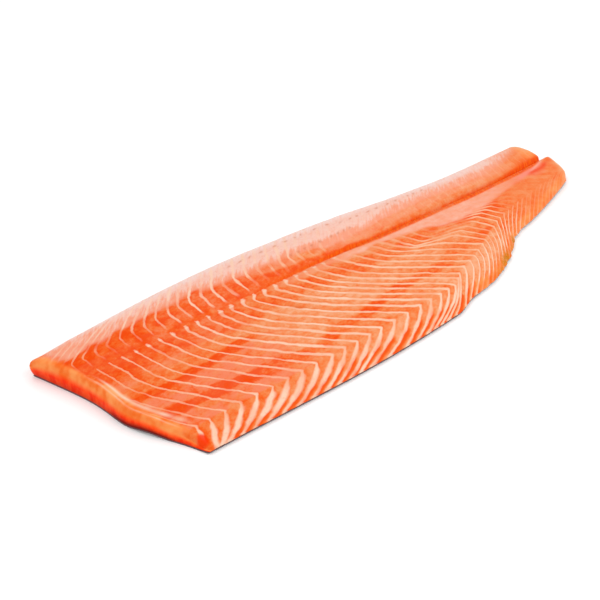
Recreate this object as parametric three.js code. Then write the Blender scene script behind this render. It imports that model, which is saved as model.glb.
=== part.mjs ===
// One side of a large trout, skin on, lying skin down: a solid side of flesh and the skin
// beneath it. Millimetres, +Z up. The head end is at -X, the tail end at +X, the back of the
// fish at +Y and its belly at -Y. The origin is at the middle of the footprint, and the skin
// lies on Z = 0.

import * as THREE from 'three';

// ---- Driving dimensions ---------------------------------------------------------------

const SKIN_THICKNESS = 0.9;
const SKIN_TO_FLESH_GAP = 0.3;
const SKIN_OVERHANG = 0.7; // how far the skin stands out past the flesh at back and belly

// Outlines seen from above: a smooth curve runs through a few landmarks, as [x, y].
const BACK_EDGE = [
  [-219.5, 63.5], // head corner
  [-90, 70.5], // crest of the back
  [0, 64],
  [90, 51],
  [145, 47], // small of the tail
  [220.5, 49], // tail corner
];
const BELLY_EDGE = [
  [-187, -64], // head corner
  [-40, -71], // fullest part of the belly
  [15, -69.5], // end of the belly flap
  [36, -63.5], // step behind the flap
  [60, -60.5],
  [85, -52], // swell at the vent
  [128, -30], // small of the tail
  [142, -27.5],
  [190, -14.5], // swell before the tail corner
  [220.5, -4], // tail corner
];
const LATERAL_LINE = [[-219.5, 27], [-40, 20], [140, 17], [220.5, 20]];

// The head cut slants from its belly corner to its back corner and bows outward. Places on it
// are shares of the way across, from 0 at the belly edge to 1 at the back edge.
const HEAD_CUT_BELLY_X = -188;
const HEAD_CUT_BACK_X = -218.5;
const HEAD_CUT_BOW = 7;
const HEAD_CUT_BOW_CENTRE = 0.36;
const HEAD_CUT_BOW_SPREAD = 0.2;

// How far the top of the head cut stands behind its foot: it overhangs at the back corner.
const HEAD_CUT_LEAN = [[0, 1.2], [0.7, 1.2], [1, -2]];
const HEAD_LEAN_LENGTH = 8; // how far behind the cut its lean dies out
const HEAD_RIM_RADIUS = 3;

// The tail cut has a lobe on each side of the notch at the lateral line, as [share, x].
const TAIL_CUT = [
  [0, 206.5], [0.08, 214.5], [0.2, 218], [0.43, 220.5], [0.48, 213], [0.56, 216], [0.8, 216],
  [1, 213],
];
const TAIL_ROUND_LENGTH = 6;
const TAIL_ROUND_DROP = 0.5; // share of the thickness that is left out at the very end

// Thickness of the flesh, given at five places along the side (0 is the head cut and 1 the
// tail cut) for each share of the way across from the belly edge to the back edge.
const THICKNESS_STATIONS = [0, 0.14, 0.5, 0.8, 1];
const THINNEST_FLESH = 0.6;
const BELLY_SECTION = [
  // The share runs from 0 at the belly edge to 1 at the lateral line.
  { share: 0, thickness: [0.8, 0.8, 0.8, 1.4, 4] },
  { share: 0.05, thickness: [3.2, 4.4, 5.2, 4, 5] },
  { share: 0.18, thickness: [7.4, 10.4, 12, 8.4, 6.2] },
  { share: 0.5, thickness: [10.4, 13.2, 14.4, 11.4, 7.8] },
  { share: 0.85, thickness: [12.8, 15, 15.6, 12.4, 8.8] },
  { share: 1, thickness: [13.4, 15.4, 15, 11.2, 7.4] },
];
const BACK_SECTION = [
  // The share runs from 0 at the lateral line to 1 at the back edge.
  { share: 0, thickness: [13.4, 15.4, 15, 11.2, 7.4] },
  { share: 0.15, thickness: [14, 16.4, 17.4, 14, 8.8] },
  { share: 0.45, thickness: [14.4, 17.6, 19.4, 15.6, 10] },
  { share: 0.75, thickness: [13.6, 16.6, 17.6, 14, 9.2] },
  { share: 0.92, thickness: [12.2, 12.6, 12.4, 10.4, 7] },
  { share: 1, thickness: [10.6, 5.4, 4.4, 4, 2.8] },
];

// The crease along the lateral line opens towards the tail.
const CREASE_DEPTH = [[0, 0], [0.3, 0], [0.45, 0.7], [0.7, 1.6], [1, 1.8]];
const CREASE_HALF_WIDTH = 2.2;

// The underside is flat but for its rim, which lifts a little, and for a low arch at the
// head cut.
const BACK_LIFT = 2.2;
const BACK_LIFT_WIDTH = 12;
const BACK_LIFT_START = 30; // how far behind the head cut the back rim is fully lifted
const BELLY_LIFT = 0.8;
const BELLY_LIFT_WIDTH = 8;
const HEAD_ARCH_HEIGHT = 1.8;
const HEAD_ARCH_CENTRE_Y = -26;
const HEAD_ARCH_HALF_WIDTH = 16;
const HEAD_ARCH_LENGTH = 14;

// Fineness of the surfaces.
const ROWS_ALONG = 44;
const ROWS_ACROSS_BELLY = 12;
const ROWS_ACROSS_BACK = 9;
const END_CROWDING = 0.6; // how much the rows crowd towards both ends of a stretch
const SETTLING_ROUNDS = 12; // rounds in which a point's place on the outline settles

// ---- Curves and profiles --------------------------------------------------------------

// A smooth curve through [position, value] pairs that never overshoots them.
function curveThrough(points) {
  const last = points.length - 1;
  const slopes = [];
  for (let i = 0; i < last; i += 1) {
    slopes.push((points[i + 1][1] - points[i][1]) / (points[i + 1][0] - points[i][0]));
  }
  const tangents = points.map((point, i) => {
    if (i === 0) return slopes[0];
    if (i === last) return slopes[last - 1];
    const product = slopes[i - 1] * slopes[i];
    return product <= 0 ? 0 : (2 * product) / (slopes[i - 1] + slopes[i]);
  });
  return (position) => {
    const held = THREE.MathUtils.clamp(position, points[0][0], points[last][0]);
    let i = 0;
    while (i < last - 1 && held > points[i + 1][0]) i += 1;
    const span = points[i + 1][0] - points[i][0];
    const u = (held - points[i][0]) / span;
    const rise = points[i + 1][1] - points[i][1];
    const bend = (1 - u) * (tangents[i] * span - rise) - u * (tangents[i + 1] * span - rise);
    return points[i][1] + u * rise + u * (1 - u) * bend;
  };
}

const backEdge = curveThrough(BACK_EDGE);
const bellyEdge = curveThrough(BELLY_EDGE);
const lateralLine = curveThrough(LATERAL_LINE);
const tailCut = curveThrough(TAIL_CUT);
const creaseDepth = curveThrough(CREASE_DEPTH);
const headLean = curveThrough(HEAD_CUT_LEAN);

function headCut(across) {
  const straight = THREE.MathUtils.lerp(HEAD_CUT_BELLY_X, HEAD_CUT_BACK_X, across);
  const offCentre = (across - HEAD_CUT_BOW_CENTRE) / HEAD_CUT_BOW_SPREAD;
  return straight - HEAD_CUT_BOW * Math.exp(-offCentre * offCentre);
}

// A quarter circle: 0 at the rim, 1 from the given width inward.
function quarterRound(distance, width) {
  const left = 1 - THREE.MathUtils.clamp(distance / width, 0, 1);
  return Math.sqrt(1 - left * left);
}

// Thickness of the flesh, part by part of its section.
function sectionCurves(section) {
  return section.map(({ share, thickness }) => {
    const along = curveThrough(THICKNESS_STATIONS.map((place, i) => [place, thickness[i]]));
    return { share, along };
  });
}

const bellyCurves = sectionCurves(BELLY_SECTION);
const backCurves = sectionCurves(BACK_SECTION);

function thicknessAt(along, side, share) {
  const curves = side === 'belly' ? bellyCurves : backCurves;
  return curveThrough(curves.map((curve) => [curve.share, curve.along(along)]))(share);
}

function creaseAt(along, distance) {
  return creaseDepth(along) * Math.exp(-Math.abs(distance) / CREASE_HALF_WIDTH);
}

// Height of the skin's underside over the table.
function undersideAt(x, y, fromHead) {
  const fromBack = Math.max(0, 1 - (backEdge(x) - y) / BACK_LIFT_WIDTH);
  const fromBelly = Math.max(0, 1 - (y - bellyEdge(x)) / BELLY_LIFT_WIDTH);
  const archSide = Math.max(0, 1 - Math.abs(y - HEAD_ARCH_CENTRE_Y) / HEAD_ARCH_HALF_WIDTH);
  const archDepth = Math.max(0, 1 - fromHead / HEAD_ARCH_LENGTH);
  const liftShare = THREE.MathUtils.smoothstep(fromHead, 0, BACK_LIFT_START);
  return BACK_LIFT * liftShare * fromBack ** 2
    + BELLY_LIFT * fromBelly ** 2
    + HEAD_ARCH_HEIGHT * archSide * archSide * (3 - 2 * archSide) * archDepth ** 2;
}

// ---- Surface grid ---------------------------------------------------------------------

// Even steps from 0 to 1 that crowd towards both ends.
function crowdedSteps(count) {
  return Array.from({ length: count + 1 }, (unused, i) => {
    const even = i / count;
    return even - (END_CROWDING * Math.sin(2 * Math.PI * even)) / (2 * Math.PI);
  });
}

// The columns across the side, as a half of the section and a share of the way over it.
const columns = [
  ...crowdedSteps(ROWS_ACROSS_BELLY).map((share) => ({ side: 'belly', share })),
  ...crowdedSteps(ROWS_ACROSS_BACK).slice(1).map((share) => ({ side: 'back', share })),
];
const rows = crowdedSteps(ROWS_ALONG);

// The share of the full width at which a column of the given row lies. It is taken from the
// outline at a first guess of x, and settles after a few rounds.
function placeOf(along, column) {
  let across = 0.5;
  let x = 0;
  let y = 0;
  for (let round = 0; round < SETTLING_ROUNDS; round += 1) {
    x = THREE.MathUtils.lerp(headCut(across), tailCut(across), along);
    const low = bellyEdge(x);
    const high = backEdge(x);
    const middle = lateralLine(x);
    y = column.side === 'belly'
      ? THREE.MathUtils.lerp(low, middle, column.share)
      : THREE.MathUtils.lerp(middle, high, column.share);
    across = (y - low) / (high - low);
  }
  return { x, y, across, fromHead: x - headCut(across), fromTail: tailCut(across) - x };
}

const SURFACE = rows.map((along) => columns.map((column) => {
  const place = placeOf(along, column);
  const underside = undersideAt(place.x, place.y, place.fromHead);
  const crease = creaseAt(along, place.y - lateralLine(place.x));
  const tailLeft = 1 - TAIL_ROUND_DROP * (1 - quarterRound(place.fromTail, TAIL_ROUND_LENGTH));
  const headLoss = HEAD_RIM_RADIUS * (1 - quarterRound(place.fromHead, HEAD_RIM_RADIUS));
  const thickness = (thicknessAt(along, column.side, column.share) - crease) * tailLeft;
  return { ...place, underside, thickness: Math.max(THINNEST_FLESH, thickness - headLoss) };
}));

// A closed body between a lower and an upper point over each node of the grid.
function closedBody(lowerPoint, upperPoint) {
  const rowCount = SURFACE.length;
  const columnCount = columns.length;
  const positions = [];
  const indices = [];
  const pointsFrom = [lowerPoint, upperPoint];
  pointsFrom.forEach((pointFrom) => {
    SURFACE.forEach((row, i) => row.forEach((node, j) => positions.push(...pointFrom(node, i, j))));
  });
  const lower = (i, j) => i * columnCount + j;
  const upper = (i, j) => rowCount * columnCount + lower(i, j);
  const quad = (a, b, c, d) => indices.push(a, b, c, a, c, d);
  for (let i = 0; i < rowCount - 1; i += 1) {
    for (let j = 0; j < columnCount - 1; j += 1) {
      quad(upper(i, j), upper(i + 1, j), upper(i + 1, j + 1), upper(i, j + 1));
      quad(lower(i, j), lower(i, j + 1), lower(i + 1, j + 1), lower(i + 1, j));
    }
    const last = columnCount - 1;
    quad(lower(i, 0), lower(i + 1, 0), upper(i + 1, 0), upper(i, 0));
    quad(lower(i + 1, last), lower(i, last), upper(i, last), upper(i + 1, last));
  }
  for (let j = 0; j < columnCount - 1; j += 1) {
    const last = rowCount - 1;
    quad(lower(0, j + 1), lower(0, j), upper(0, j), upper(0, j + 1));
    quad(lower(last, j), lower(last, j + 1), upper(last, j + 1), upper(last, j));
  }
  const geometry = new THREE.BufferGeometry();
  geometry.setAttribute('position', new THREE.Float32BufferAttribute(positions, 3));
  geometry.setIndex(indices);
  geometry.computeVertexNormals();
  return geometry;
}

// ---- The two pieces -------------------------------------------------------------------

// The side of flesh: crowned over the loin, creased along the lateral line, thinning to the
// belly edge and to the tail.
function makeFlesh() {
  const footOf = (node) => node.underside + SKIN_THICKNESS + SKIN_TO_FLESH_GAP;
  const geometry = closedBody(
    (node) => [node.x, node.y, footOf(node)],
    (node) => {
      const leanLeft = Math.max(0, 1 - node.fromHead / HEAD_LEAN_LENGTH);
      const x = node.x + headLean(node.across) * leanLeft;
      return [x, node.y, footOf(node) + node.thickness];
    },
  );
  const material = new THREE.MeshStandardMaterial({
    color: 0xff8a52,
    roughness: 0.35,
    metalness: 0,
  });
  const flesh = new THREE.Mesh(geometry, material);
  flesh.name = 'flesh';
  return flesh;
}

// The skin: an even sheet beneath the whole side, standing out a little at back and belly.
function makeSkin() {
  const lastColumn = columns.length - 1;
  const overhangAt = (j) => {
    if (j === 0) return -SKIN_OVERHANG;
    return j === lastColumn ? SKIN_OVERHANG : 0;
  };
  const geometry = closedBody(
    (node, i, j) => [node.x, node.y + overhangAt(j), node.underside],
    (node, i, j) => [node.x, node.y + overhangAt(j), node.underside + SKIN_THICKNESS],
  );
  const material = new THREE.MeshStandardMaterial({
    color: 0x8d8f96,
    roughness: 0.35,
    metalness: 0,
  });
  const skin = new THREE.Mesh(geometry, material);
  skin.name = 'skin';
  return skin;
}

const fillet = new THREE.Group();
fillet.add(makeFlesh(), makeSkin());

export default fillet;
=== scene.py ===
import math

import bpy
import numpy as np
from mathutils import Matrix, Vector


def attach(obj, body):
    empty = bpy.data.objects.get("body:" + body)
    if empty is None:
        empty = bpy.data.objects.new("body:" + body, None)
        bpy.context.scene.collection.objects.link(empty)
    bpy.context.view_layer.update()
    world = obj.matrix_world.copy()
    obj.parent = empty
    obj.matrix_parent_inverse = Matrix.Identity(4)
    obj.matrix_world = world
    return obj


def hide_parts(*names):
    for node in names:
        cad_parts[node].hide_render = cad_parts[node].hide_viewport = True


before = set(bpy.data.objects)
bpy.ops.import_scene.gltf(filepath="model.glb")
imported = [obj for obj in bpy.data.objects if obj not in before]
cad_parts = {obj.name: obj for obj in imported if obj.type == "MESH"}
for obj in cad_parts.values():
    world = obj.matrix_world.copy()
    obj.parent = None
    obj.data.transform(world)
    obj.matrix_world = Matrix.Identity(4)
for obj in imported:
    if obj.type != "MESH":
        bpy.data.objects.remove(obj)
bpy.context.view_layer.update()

# A raw side of trout, skin down. The head end is at -X, the tail end at +X, the back of the
# fish at +Y and its belly at -Y. Sizes are in millimetres until a mesh is made from them.
MM = 0.001

# ---- Camera and stage ----

CAMERA_AZIMUTH = -43.3
CAMERA_ELEVATION = 33.8
CAMERA_LENS = 78.5
CAMERA_DISTANCE = 837
CAMERA_TARGET = (-55.4, 3.7, 9.3)
FLOOR_SIZE = 12000
KEY_LIGHT = ((500, -900, 1100), 900, 6)  # its place, its size and its power
FILL_LIGHT = ((-900, 300, 1300), 1200, 3)
LIGHT_LEVEL = 1.25  # how bright the stage's light shows a white surface

# ---- Shape of the side ----

SKIN_THICKNESS = 0.9
SKIN_TO_FLESH_GAP = 0.3
DARK_RIM_END = (20, 60)  # where along the side the skin's dark rim ends

# Tables give values by place, and a smooth curve runs through them. The outlines seen from
# above run through a few landmarks, as x: y.
BACK_EDGE = {-219.5: 63.5, -90: 70.5, 0: 64, 90: 51, 145: 47, 220.5: 49}
BELLY_EDGE = {
    -187: -64, -40: -71, 15: -69.5, 36: -63.5, 60: -60.5, 85: -52, 128: -30, 142: -27.5,
    190: -14.5, 220.5: -4,
}
LATERAL_LINE = {-219.5: 27, -40: 20, 140: 17, 220.5: 20}

# The belly edge is finely ragged at the vent, and has one small nick.
RAGGED_DEPTH = 0.5
RAGGED_LENGTH = 2.4
RAGGED_SPAN = (52, 112, 6)  # where it starts and ends, and how softly
NICK_X = 115
NICK_HALF_WIDTH = 3
NICK_DEPTH = 1.6

# The cuts, over the share of the way across from the belly edge to the back edge.
HEAD_CUT_BELLY_X = -188
HEAD_CUT_BACK_X = -218.5
HEAD_CUT_BOW = 7
HEAD_CUT_BOW_CENTRE = 0.36
HEAD_CUT_BOW_SPREAD = 0.2
HEAD_CUT_LEAN = {0: 1.2, 0.7: 1.2, 1: -2}
HEAD_LEAN_LENGTH = 8
HEAD_RIM_RADIUS = 3
TAIL_CUT = {0: 206.5, 0.08: 214.5, 0.2: 218, 0.43: 220.5, 0.48: 213, 0.56: 216, 0.8: 216, 1: 213}
TAIL_ROUND_LENGTH = 6
TAIL_ROUND_DROP = 0.5

# Thickness at five places along the side, for shares of the way over each half of it.
THICKNESS_STATIONS = (0, 0.14, 0.5, 0.8, 1)
THINNEST_FLESH = 0.6
BELLY_SECTION = {
    0: (0.8, 0.8, 0.8, 1.4, 4),
    0.05: (3.2, 4.4, 5.2, 4, 5),
    0.18: (7.4, 10.4, 12, 8.4, 6.2),
    0.5: (10.4, 13.2, 14.4, 11.4, 7.8),
    0.85: (12.8, 15, 15.6, 12.4, 8.8),
    1: (13.4, 15.4, 15, 11.2, 7.4),
}
BACK_SECTION = {
    0: (13.4, 15.4, 15, 11.2, 7.4),
    0.15: (14, 16.4, 17.4, 14, 8.8),
    0.45: (14.4, 17.6, 19.4, 15.6, 10),
    0.75: (13.6, 16.6, 17.6, 14, 9.2),
    0.92: (12.2, 12.6, 12.4, 10.4, 7),
    1: (10.6, 5.4, 4.4, 4, 2.8),
}
CREASE_DEPTH = {0: 0, 0.3: 0, 0.45: 0.9, 0.7: 2, 1: 2.2}
CREASE_HALF_WIDTH = 2

BACK_LIFT = 2.2
BACK_LIFT_WIDTH = 12
BACK_LIFT_START = 30
BELLY_LIFT = 0.8
BELLY_LIFT_WIDTH = 8
HEAD_ARCH_HEIGHT = 1.8
HEAD_ARCH_CENTRE_Y = -26
HEAD_ARCH_HALF_WIDTH = 16
HEAD_ARCH_LENGTH = 14

# ---- Muscle lines ----

# A muscle line is known by its base, where it crosses the lateral line. On the belly half it
# runs upright at first, then bends tailward to a sharp fold, and then turns back to the
# edge. On the loin it runs upright and then slants tailward into the sheen.
FIRST_BASE = -172
LINE_SPACING = {
    -220: 8.5, -180: 8.8, -150: 9.4, -100: 9, -60: 9, -37: 7.4, -27: 8, -15: 10.5, 0: 8.8,
    20: 7.6, 35: 9, 80: 8.4, 130: 8, 221: 6.5,
}
FOLD_SWEEP = {
    -206: 31.5, -181: 39.5, -153: 46, -116: 53, -98: 55.5, -71: 63.5, -35: 66, -21: 60.5,
    -5: 57.5, 22: 56, 49: 48, 100: 38, 221: 24,
}
FOLD_Y = {
    -190: -48, -120: -53.5, -40: -56.5, 10: -56.5, 29: -55, 41: -47.5, 60: -42, 90: -30, 121: -18,
    221: 0,
}
BEND_START = {-172: 0.45, -100: 0.33, -50: 0.33, 0: 0.4, 221: 0.4}
BEND_SOFTNESS = 0.12
UPRIGHT_SHARE = 0.32  # the share of its sweep that a line would gain without its bend
TIP_SHARE = 0.07  # the share that it gains just before its fold
TIP_POWER = 8
SHOULDER_SHARE = {-10: 0, 15: 0.1, 22: 0.2, 31: 0.5, 60: 0.6, 110: 0.4, 150: 0}
SHOULDER_START = {0: 0.42, 15: 0.46, 31: 0.53, 221: 0.53}
SHOULDER_END = {0: 0.66, 15: 0.68, 31: 0.72, 221: 0.72}
BELLY_RETURN = {
    -206: 8, -190: 20, -172: 25, -110: 29, -90: 33, -60: 26, -35: 30, -12: 22, 22: 24, 100: 26,
    221: 28,
}
RETURN_STRAIGHT = {-172: 0.6, -60: 0.5, -20: 0.4, 60: 0.45, 100: 0.8, 221: 0.9}
RETURN_POWER = {-100: 2.2, -21: 2.8, 221: 2.8}
RETURN_LIMIT = 1.2  # how far the return is reckoned, as a share of the way to the edge
HOOK_SIZE = {-175: 0, -130: 2.5, -95: 5, -55: 5, -20: 3, 20: 0}  # tailward
HOOK_LENGTH = 7
LOIN_BEND_Y = {-210: 38, -90: 38, -60: 36, -40: 33, 0: 28, 221: 28}
LOIN_SLANT = {-205: 2, -185: 1.6, -150: 1.15, -115: 0.85, 221: 0.8}
LOIN_BEND_LENGTH = 3
FOLD_MARGIN = 2  # the least distance of a fold from the belly edge
LINE_WANDER = 0.09  # how far a line strays, as a share of the spacing
COARSE_WANDER = (17, 13)
FINE_WANDER = (6, 5)
COUNT_REACH = 340  # the lines are counted this far to either side of x = 0, in small steps
COUNT_STEP = 0.5
BASE_ROUNDS = 14
BASE_KEPT = 0.3  # the share of its last value that each round keeps

# The lines' half widths in millimetres, their strength and how white they are.
LINE_HALF_WIDTH = {-221: 0.5, -150: 0.65, -80: 0.95, -20: 0.95, 60: 0.85, 140: 0.8, 221: 0.5}
STRIPE_HALF_WIDTH = {-190: 1.2, -150: 1.4, -110: 1.25, -80: 0.75, -50: 0.7, 0: 0.5, 25: 0.3, 60: 0}
LINE_STRENGTH = {
    -215: 0.5, -160: 0.75, -100: 0.85, -60: 1, 90: 0.95, 112: 0.9, 135: 0.5, 155: 0.2, 221: 0.1,
}
LOIN_LINE_STRENGTH = {-215: 0.6, -110: 0.8, -40: 0.7, 0: 0.3, 20: 0.12, 110: 0.2, 221: 0.15}
LINE_WHITENESS = {-215: 0.3, -150: 0.8, -80: 0.95, -20: 0.85, 20: 0.6, 60: 0.45, 221: 0.3}
LINE_BREAK_SIZE = (8, 9)
LINE_TIP_SPAN = (-178, -8, 6)
FOLD_TIP_SPAN = (-190, 60, 6)
STRONG_STRIPE_SPAN = (-200, -95, 12)
FAINT_LINES_SPAN = (56, 96, 8)
FAINT_TAIL_START = (118, 134)
VENT_SPAN = (45, 118, 6)
DULL_LINES_SPAN = (-80, 20, 15)

# Small relief: swelling blocks between the lines, a lip under the lateral line, and how far
# the edge faces swell.
BLOCK_SWELL = 0.3
LIP_HEIGHT = 0.5
WALL_SWELL = 0.5
SKIN_WALL_SWELL = 0.15

# ---- Zones of colour ----

# Zones are placed by x along the side and y across it. A SPAN is where a zone starts and
# ends and how softly it fades. A START or END is the stretch over which it grows or ends.

# Depth of the orange between the lines: 0 is the palest flesh and 1 the deepest.
BELLY_DEPTH = {
    -205: 0.64, -160: 0.52, -135: 0.46, -110: 0.4, -95: 0.31, -60: 0.27, -30: 0.2, 10: 0.25,
    50: 0.32, 80: 0.36, 110: 0.5, 130: 0.52, 160: 0.48, 180: 0.4, 200: 0.5, 221: 0.44,
}
CROWN_DEPTH = {
    -205: 0.34, -185: 0.32, -160: 0.3, -135: 0.24, -110: 0.38, -85: 0.24, -60: 0.2, 0: 0.14,
    50: 0.08, 80: 0,
}
CROWN_START_Y = {-185: 5, -135: 1, -115: -4}
LOIN_DEPTH = {
    -205: 0.94, -160: 0.84, -120: 0.74, -90: 0.62, -50: 0.4, 0: 0.28, 50: 0.36, 110: 0.32,
    160: 0.28, 190: 0.45, 221: 0.5,
}
BLOCK_VARIETY = 0.1

# Rows of deep patches on the belly half, one patch to a muscle block, partly the flesh's own
# deeper orange and partly painted shade, each patch being a facet that catches none of the sheen
# around it: the middle of the row, its strength, its patches' half height, its span and the seed
# of their random sizes.
DEEP_STREAKS = [
    (
        {-200: -11, -160: -14.5, -135: -12.5, -105: -12},
        {-200: 0.56, -105: 0.56},
        {-200: 3.1, -105: 3.1},
        (-200, -108, 6), 72,
    ),
    (
        {
            -197: -30, -160: -35.2, -135: -38.8, -110: -42, -85: -46.5, -60: -41.5, -30: -39,
            0: -36.5, 30: -37, 60: -30, 80: -29, 100: -25,
        },
        {-160: 1, -110: 0.45, -85: 0.5, -60: 0.5, 0: 0.52, 30: 0.38, 100: 0.3},
        {-160: 3.5, -110: 4.4},
        (-202, 100, 6), 75,
    ),
    (
        {-100: 1, -85: 3, -60: 5, -30: 1, 0: -3, 30: -4.5, 60: -4.5, 80: -5, 130: -8},
        {-85: 0.2, -50: 0.24, -30: 0.4, 30: 0.42, 60: 0.36},
        {-100: 5.5, 130: 5.5},
        (-100, 128, 6), 78,
    ),
]
PATCH_STRAY = 3

# Wider patches of the belly half: the change of depth, the span along the side, the span
# across it, and whether the patch ends at the folds.
DEPTH_PATCHES = [
    (0.14, (-48, -12, 10), (-200, -34, 3), True),
    (0.09, (-90, 8, 10), (-200, -43.5, 2.5), False),
    (-0.13, (54, 90, 8), (-20, -3, 4), False),
]
BEHIND_FOLDS_SPAN = (34, 100, 8)

# The deep belt along the belly edge, and how far past the folds it starts, as a share.
BELT_SPAN = (-178, 105, 10)
BELT_DELAY = {-150: 0.2, -110: 0.12, -80: 0.02, 20: 0, 50: 0.18, 90: 0.28}

# The loin's deep band ends in pale tissue under a painted sheen, partly the tissue's own colour
# and partly painted reflection, which starts raggedly and then goes on growing paler over its
# rise. The whiter gleam along the back is a painted highlight on the pale tissue.
SHEEN_START_Y = {
    -221: 46, -190: 44.5, -120: 45.5, -100: 43, -85: 40, -60: 37.5, -40: 35, -10: 28, 0: 25.5,
    30: 26, 60: 27, 90: 27, 120: 25, 150: 24.5, 180: 30, 200: 38, 221: 46,
}
PALE_START_Y = {
    -221: 44, -120: 44, -100: 41, -60: 35, -30: 34, 0: 31.5, 30: 27.5, 150: 27, 180: 30, 221: 40,
}
SHEEN_SOFTNESS = {-221: 1.6, -110: 2.2, -60: 4, 0: 2, 120: 2, 160: 4, 221: 5}
PALE_RISE = {-150: 16, -60: 14, 0: 6, 30: 7, 60: 14, 90: 14, 120: 10, 221: 9}
DEEP_BAND_END_Y = {
    -221: 45, -110: 43, -90: 36, -60: 31, -45: 28.5, -30: 26, -15: 24, 10: 21.5, 30: 19, 90: 17.2,
    150: 18, 175: 19.5, 221: 24,
}
DEEP_BAND_DEPTH = 0.84
DEEP_BAND_START = (-115, -85)
NOTCH_START = (170, 205)
GLEAM_START_Y = {-221: 58, -80: 54, 0: 46, 70: 40, 130: 33, 160: 33, 221: 42}

# The groove under the lateral line: a thin dark line at mid body, painted crease shadow, and a band
# towards the tail, partly the flesh's own deep orange and partly painted crease shade.
GROOVE_TOP_Y = {
    -70: 22.6, -20: 21.8, 0: 21.6, 15: 20.6, 30: 19.4, 60: 19.3, 90: 17.7, 120: 17.8, 150: 18.4,
    175: 18.8, 195: 22.6, 221: 23,
}
GROOVE_FOOT_Y = {
    -70: 20.9, -20: 19.8, 0: 17, 20: 14, 40: 12.6, 60: 12.2, 90: 11.4, 120: 10.2, 150: 11,
    175: 11.4, 195: 12.6, 212: 18, 221: 20,
}
GROOVE_TOP_SOFTNESS = {0: 0.5, 30: 1.4, 221: 1.6}
GROOVE_FOOT_SOFTNESS = {-70: 0.3, -20: 0.4, 20: 1.2, 221: 1.4}
GROOVE_START = (-70, -40)
GROOVE_GAP_SPANS = ((78, 104, 10), (136, 164, 10))  # it is weaker here

# The smooth strip beneath the groove.
STRIP_FOOT_Y = {-62: 15, 0: 10, 30: 8.5, 50: 5, 66: 2, 78: -4, 100: -5, 120: -3, 140: 0, 175: 6}
STRIP_START = (-75, -40)
STRIP_END = (140, 185)

# Pinker, yellower, brownish and red places.
ROSY_FORE_END = (-125, -80)
ROSY_LOIN_SPAN = (-150, 20, 20)
ROSY_TAIL_SPAN = (166, 200, 8)
GOLD_RIM_WIDTH = {-66: 3, -45: 5, -20: 7, 5: 7, 22: 3, 40: 3, 50: 5, 64: 5}
GOLD_RIM_SPAN = (-48, 62, 5)
GOLD_VENT_SPAN = (42, 118, 8)
SPOT_PLACE = (-187.5, -57)
SPOT_HALF_WIDTH = 4.4
# Rows of dashes: the line that a row follows, its span, its spacing and its slant.
DASH_ROWS = [
    ({-75: 53, -10: 50, 20: 46}, (-75, 18, 4), 9, 0.8),
    ({-40: 35, 30: 33}, (-38, 22, 4), 7, 0.5),
    ({16: 42.5, 60: 40, 105: 38}, (18, 104, 4), 9, 0.8),
    ({40: 57, 66: 53.5, 110: 48}, (40, 125, 4), 9, 1),
]
RED_BELOW_Y = {175: 6, 184: 7.5, 197: 8, 206: 11, 221: 15}
RED_ABOVE_Y = {175: 15, 195: 17.5, 221: 21}
PINK_Y = {165: 7, 180: 9, 195: 12, 221: 18}
TAIL_STREAK_Y = {175: 7, 198: 12.5, 221: 20}

# Pale rims beside the head cut, measured from it.
RIM_LINE_SPAN = (-40, 18, 8)
RIM_LINE_AT = {-40: 9.5, -20: 8, 0: 6, 26: 6}
RIM_LINE_HALF_WIDTH = {-40: 1.9, -10: 1.5, 20: 0.7}

# ---- Fineness ----

FLESH_GRID = (468, 90, 54)  # rows, then columns over the belly half and over the back half
FLESH_WALL_LAYERS = 12
SKIN_GRID = (252, 48, 36)
SKIN_WALL_LAYERS = 4
FAR_STEP = 6  # the hidden face of a shell has one point for each six of its shown face
END_CROWDING = 0.35
SETTLING_ROUNDS = 12
LUMP_COUNT = 64  # random values each way, before they repeat
EACH_COUNT = 256  # random values for blocks and lines, before they repeat


# ---- Curves, bands and noise ----

def smooth_through(places, values, at):
    """A smooth curve through the values at the places, which never overshoots them."""
    places = np.asarray(places, float)
    at = np.clip(np.asarray(at, float), places[0], places[-1])
    values = np.stack([np.broadcast_to(value, at.shape) for value in values]).astype(float)
    gaps = np.diff(places)
    slopes = np.diff(values, axis=0) / gaps.reshape(-1, *[1] * at.ndim)
    product = slopes[:-1] * slopes[1:]
    total = np.where(product > 0, slopes[:-1] + slopes[1:], 1)
    inner = np.where(product > 0, 2 * product / total, 0)
    tangents = np.concatenate([slopes[:1], inner, slopes[-1:]])
    index = np.clip(np.searchsorted(places, at, side="right") - 1, 0, len(gaps) - 1)

    def pick(table, offset=0):
        return np.take_along_axis(table, (index + offset)[None], 0)[0]

    span = gaps[index]
    u = (at - places[index]) / span
    gain = pick(values, 1) - pick(values)
    bend = (1 - u) * (pick(tangents) * span - gain) - u * (pick(tangents, 1) * span - gain)
    return pick(values) + u * gain + u * (1 - u) * bend


def curve(table, at):
    """A smooth curve through a table of values by place."""
    return smooth_through(list(table), table.values(), at)


def rise(value, low, high):
    """Goes smoothly from 0 at low to 1 at high."""
    t = np.clip((value - low) / (high - low), 0, 1)
    return t * t * (3 - 2 * t)


def fall(value, low, high):
    return 1 - rise(value, low, high)


def most(*shares):
    return np.maximum.reduce(shares)


def hill(value, centre, half_width):
    return np.exp(-((value - centre) / half_width) ** 2)


def band(value, low, high, softness):
    """1 between low and high, fading to 0 over the softness on either side."""
    started = rise(value, low - softness, low + softness)
    return started * fall(value, high - softness, high + softness)


def quarter_round(distance, width):
    left = 1 - np.clip(distance / width, 0, 1)
    return np.sqrt(1 - left * left)


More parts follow.
